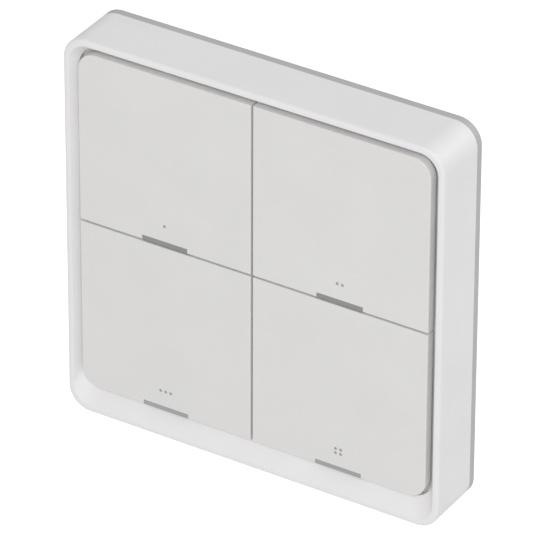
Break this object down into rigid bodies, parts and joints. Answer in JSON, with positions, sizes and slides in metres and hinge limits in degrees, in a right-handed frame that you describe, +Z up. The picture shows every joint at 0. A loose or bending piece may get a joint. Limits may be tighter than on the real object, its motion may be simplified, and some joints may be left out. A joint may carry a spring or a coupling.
{
  "type": "scene switch remote",
  "caption": "Square wall-mounted battery remote with flat tilting keys, light bars and a magnetic wall plate",
  "frame": {"origin": "middle of the adhesive pad's glued face, on the wall", "axes": "+Z up, +X to the right seen from the room, +Y into the wall, so the front looks along -Y"},
  "size_m": [0.086, 0.0144, 0.086],
  "materials": {
    "white_plastic": "fine satin texture",
    "key_plastic": "fine satin texture",
    "window_plastic": "smoked, satin",
    "grey_plastic": "fine satin texture",
    "foam_tape": "foam with a smooth liner",
    "zinc_steel": "zinc plated",
    "inner_plastic": "moulded, matte",
    "rear_plastic": "moulded, matte",
    "cover_plastic": "moulded, matte",
    "board_laminate": "green solder mask",
    "screw_steel": "plated",
    "diode_resin": "cast resin",
    "clear_plastic": "milky, moulded",
    "shield_tin": "tinned",
    "chip_ceramic": "matte",
    "cell_steel": "nickel plated",
    "spring_metal": "gold flashed",
    "magnet_nickel": "nickel plated",
    "switch_plastic": "moulded",
    "plunger_plastic": "moulded"
  },
  "bodies": {
    "wall_mount": {"wall_plate": "grey_plastic", "adhesive_pad": "foam_tape", "keeper_discs": "zinc_steel"},
    "remote": {"front_frame": "white_plastic", "key_carrier": "inner_plastic", "rear_case": "rear_plastic", "circuit_board": "board_laminate", "board_screws": "screw_steel", "switch_body_1": "switch_plastic", "switch_body_2": "switch_plastic", "switch_body_3": "switch_plastic", "switch_body_4": "switch_plastic", "light_diodes": "diode_resin", "light_pipes": "clear_plastic", "radio_module": "shield_tin", "board_components": "chip_ceramic", "coin_cell": "cell_steel", "positive_contact": "spring_metal", "negative_contact": "spring_metal", "magnets": "magnet_nickel"},
    "battery_cover": {"battery_cover": "cover_plastic"},
    "key_1": {"key_1": "key_plastic", "light_window_1": "window_plastic"},
    "plunger_1": {"plunger_1": "plunger_plastic"},
    "key_2": {"key_2": "key_plastic", "light_window_2": "window_plastic"},
    "plunger_2": {"plunger_2": "plunger_plastic"},
    "key_3": {"key_3": "key_plastic", "light_window_3": "window_plastic"},
    "plunger_3": {"plunger_3": "plunger_plastic"},
    "key_4": {"key_4": "key_plastic", "light_window_4": "window_plastic"},
    "plunger_4": {"plunger_4": "plunger_plastic"}
  },
  "joints": [
    {"name": "pull_off", "type": "slide", "parent": "wall_mount", "child": "remote", "axis": [0, -1, 0], "range_m": [0, 0.03]},
    {"name": "cover_turn", "type": "hinge", "parent": "remote", "child": "battery_cover", "pos_m": [0, -0.0027, 0], "axis": [0, 1, 0], "range_deg": [0, 40]},
    {"name": "key_1_press", "type": "hinge", "parent": "remote", "child": "key_1", "pos_m": [-0.02001, -0.01205, 0.0368], "axis": [1, 0, 0], "range_deg": [0, 1.2], "stiffness_Nm_per_rad": 0.6, "springref_deg": -1.15},
    {"name": "plunger_1_slide", "type": "slide", "parent": "remote", "child": "plunger_1", "axis": [0, 1, 0], "range_m": [0, 0.00053]},
    {"name": "key_2_press", "type": "hinge", "parent": "remote", "child": "key_2", "pos_m": [0.02001, -0.01205, 0.0368], "axis": [1, 0, 0], "range_deg": [0, 1.2], "stiffness_Nm_per_rad": 0.6, "springref_deg": -1.15},
    {"name": "plunger_2_slide", "type": "slide", "parent": "remote", "child": "plunger_2", "axis": [0, 1, 0], "range_m": [0, 0.00053]},
    {"name": "key_3_press", "type": "hinge", "parent": "remote", "child": "key_3", "pos_m": [-0.02001, -0.01205, -0.00183], "axis": [1, 0, 0], "range_deg": [0, 1.2], "stiffness_Nm_per_rad": 0.6, "springref_deg": -1.15},
    {"name": "plunger_3_slide", "type": "slide", "parent": "remote", "child": "plunger_3", "axis": [0, 1, 0], "range_m": [0, 0.00053]},
    {"name": "key_4_press", "type": "hinge", "parent": "remote", "child": "key_4", "pos_m": [0.02001, -0.01205, -0.00183], "axis": [1, 0, 0], "range_deg": [0, 1.2], "stiffness_Nm_per_rad": 0.6, "springref_deg": -1.15},
    {"name": "plunger_4_slide", "type": "slide", "parent": "remote", "child": "plunger_4", "axis": [0, 1, 0], "range_m": [0, 0.00053]}
  ],
  "couplings": [
    {"joint": "plunger_1_slide", "follows": "key_1_press", "m_per_rad": 0.025},
    {"joint": "plunger_2_slide", "follows": "key_2_press", "m_per_rad": 0.025},
    {"joint": "plunger_3_slide", "follows": "key_3_press", "m_per_rad": 0.025},
    {"joint": "plunger_4_slide", "follows": "key_4_press", "m_per_rad": 0.025}
  ]
}
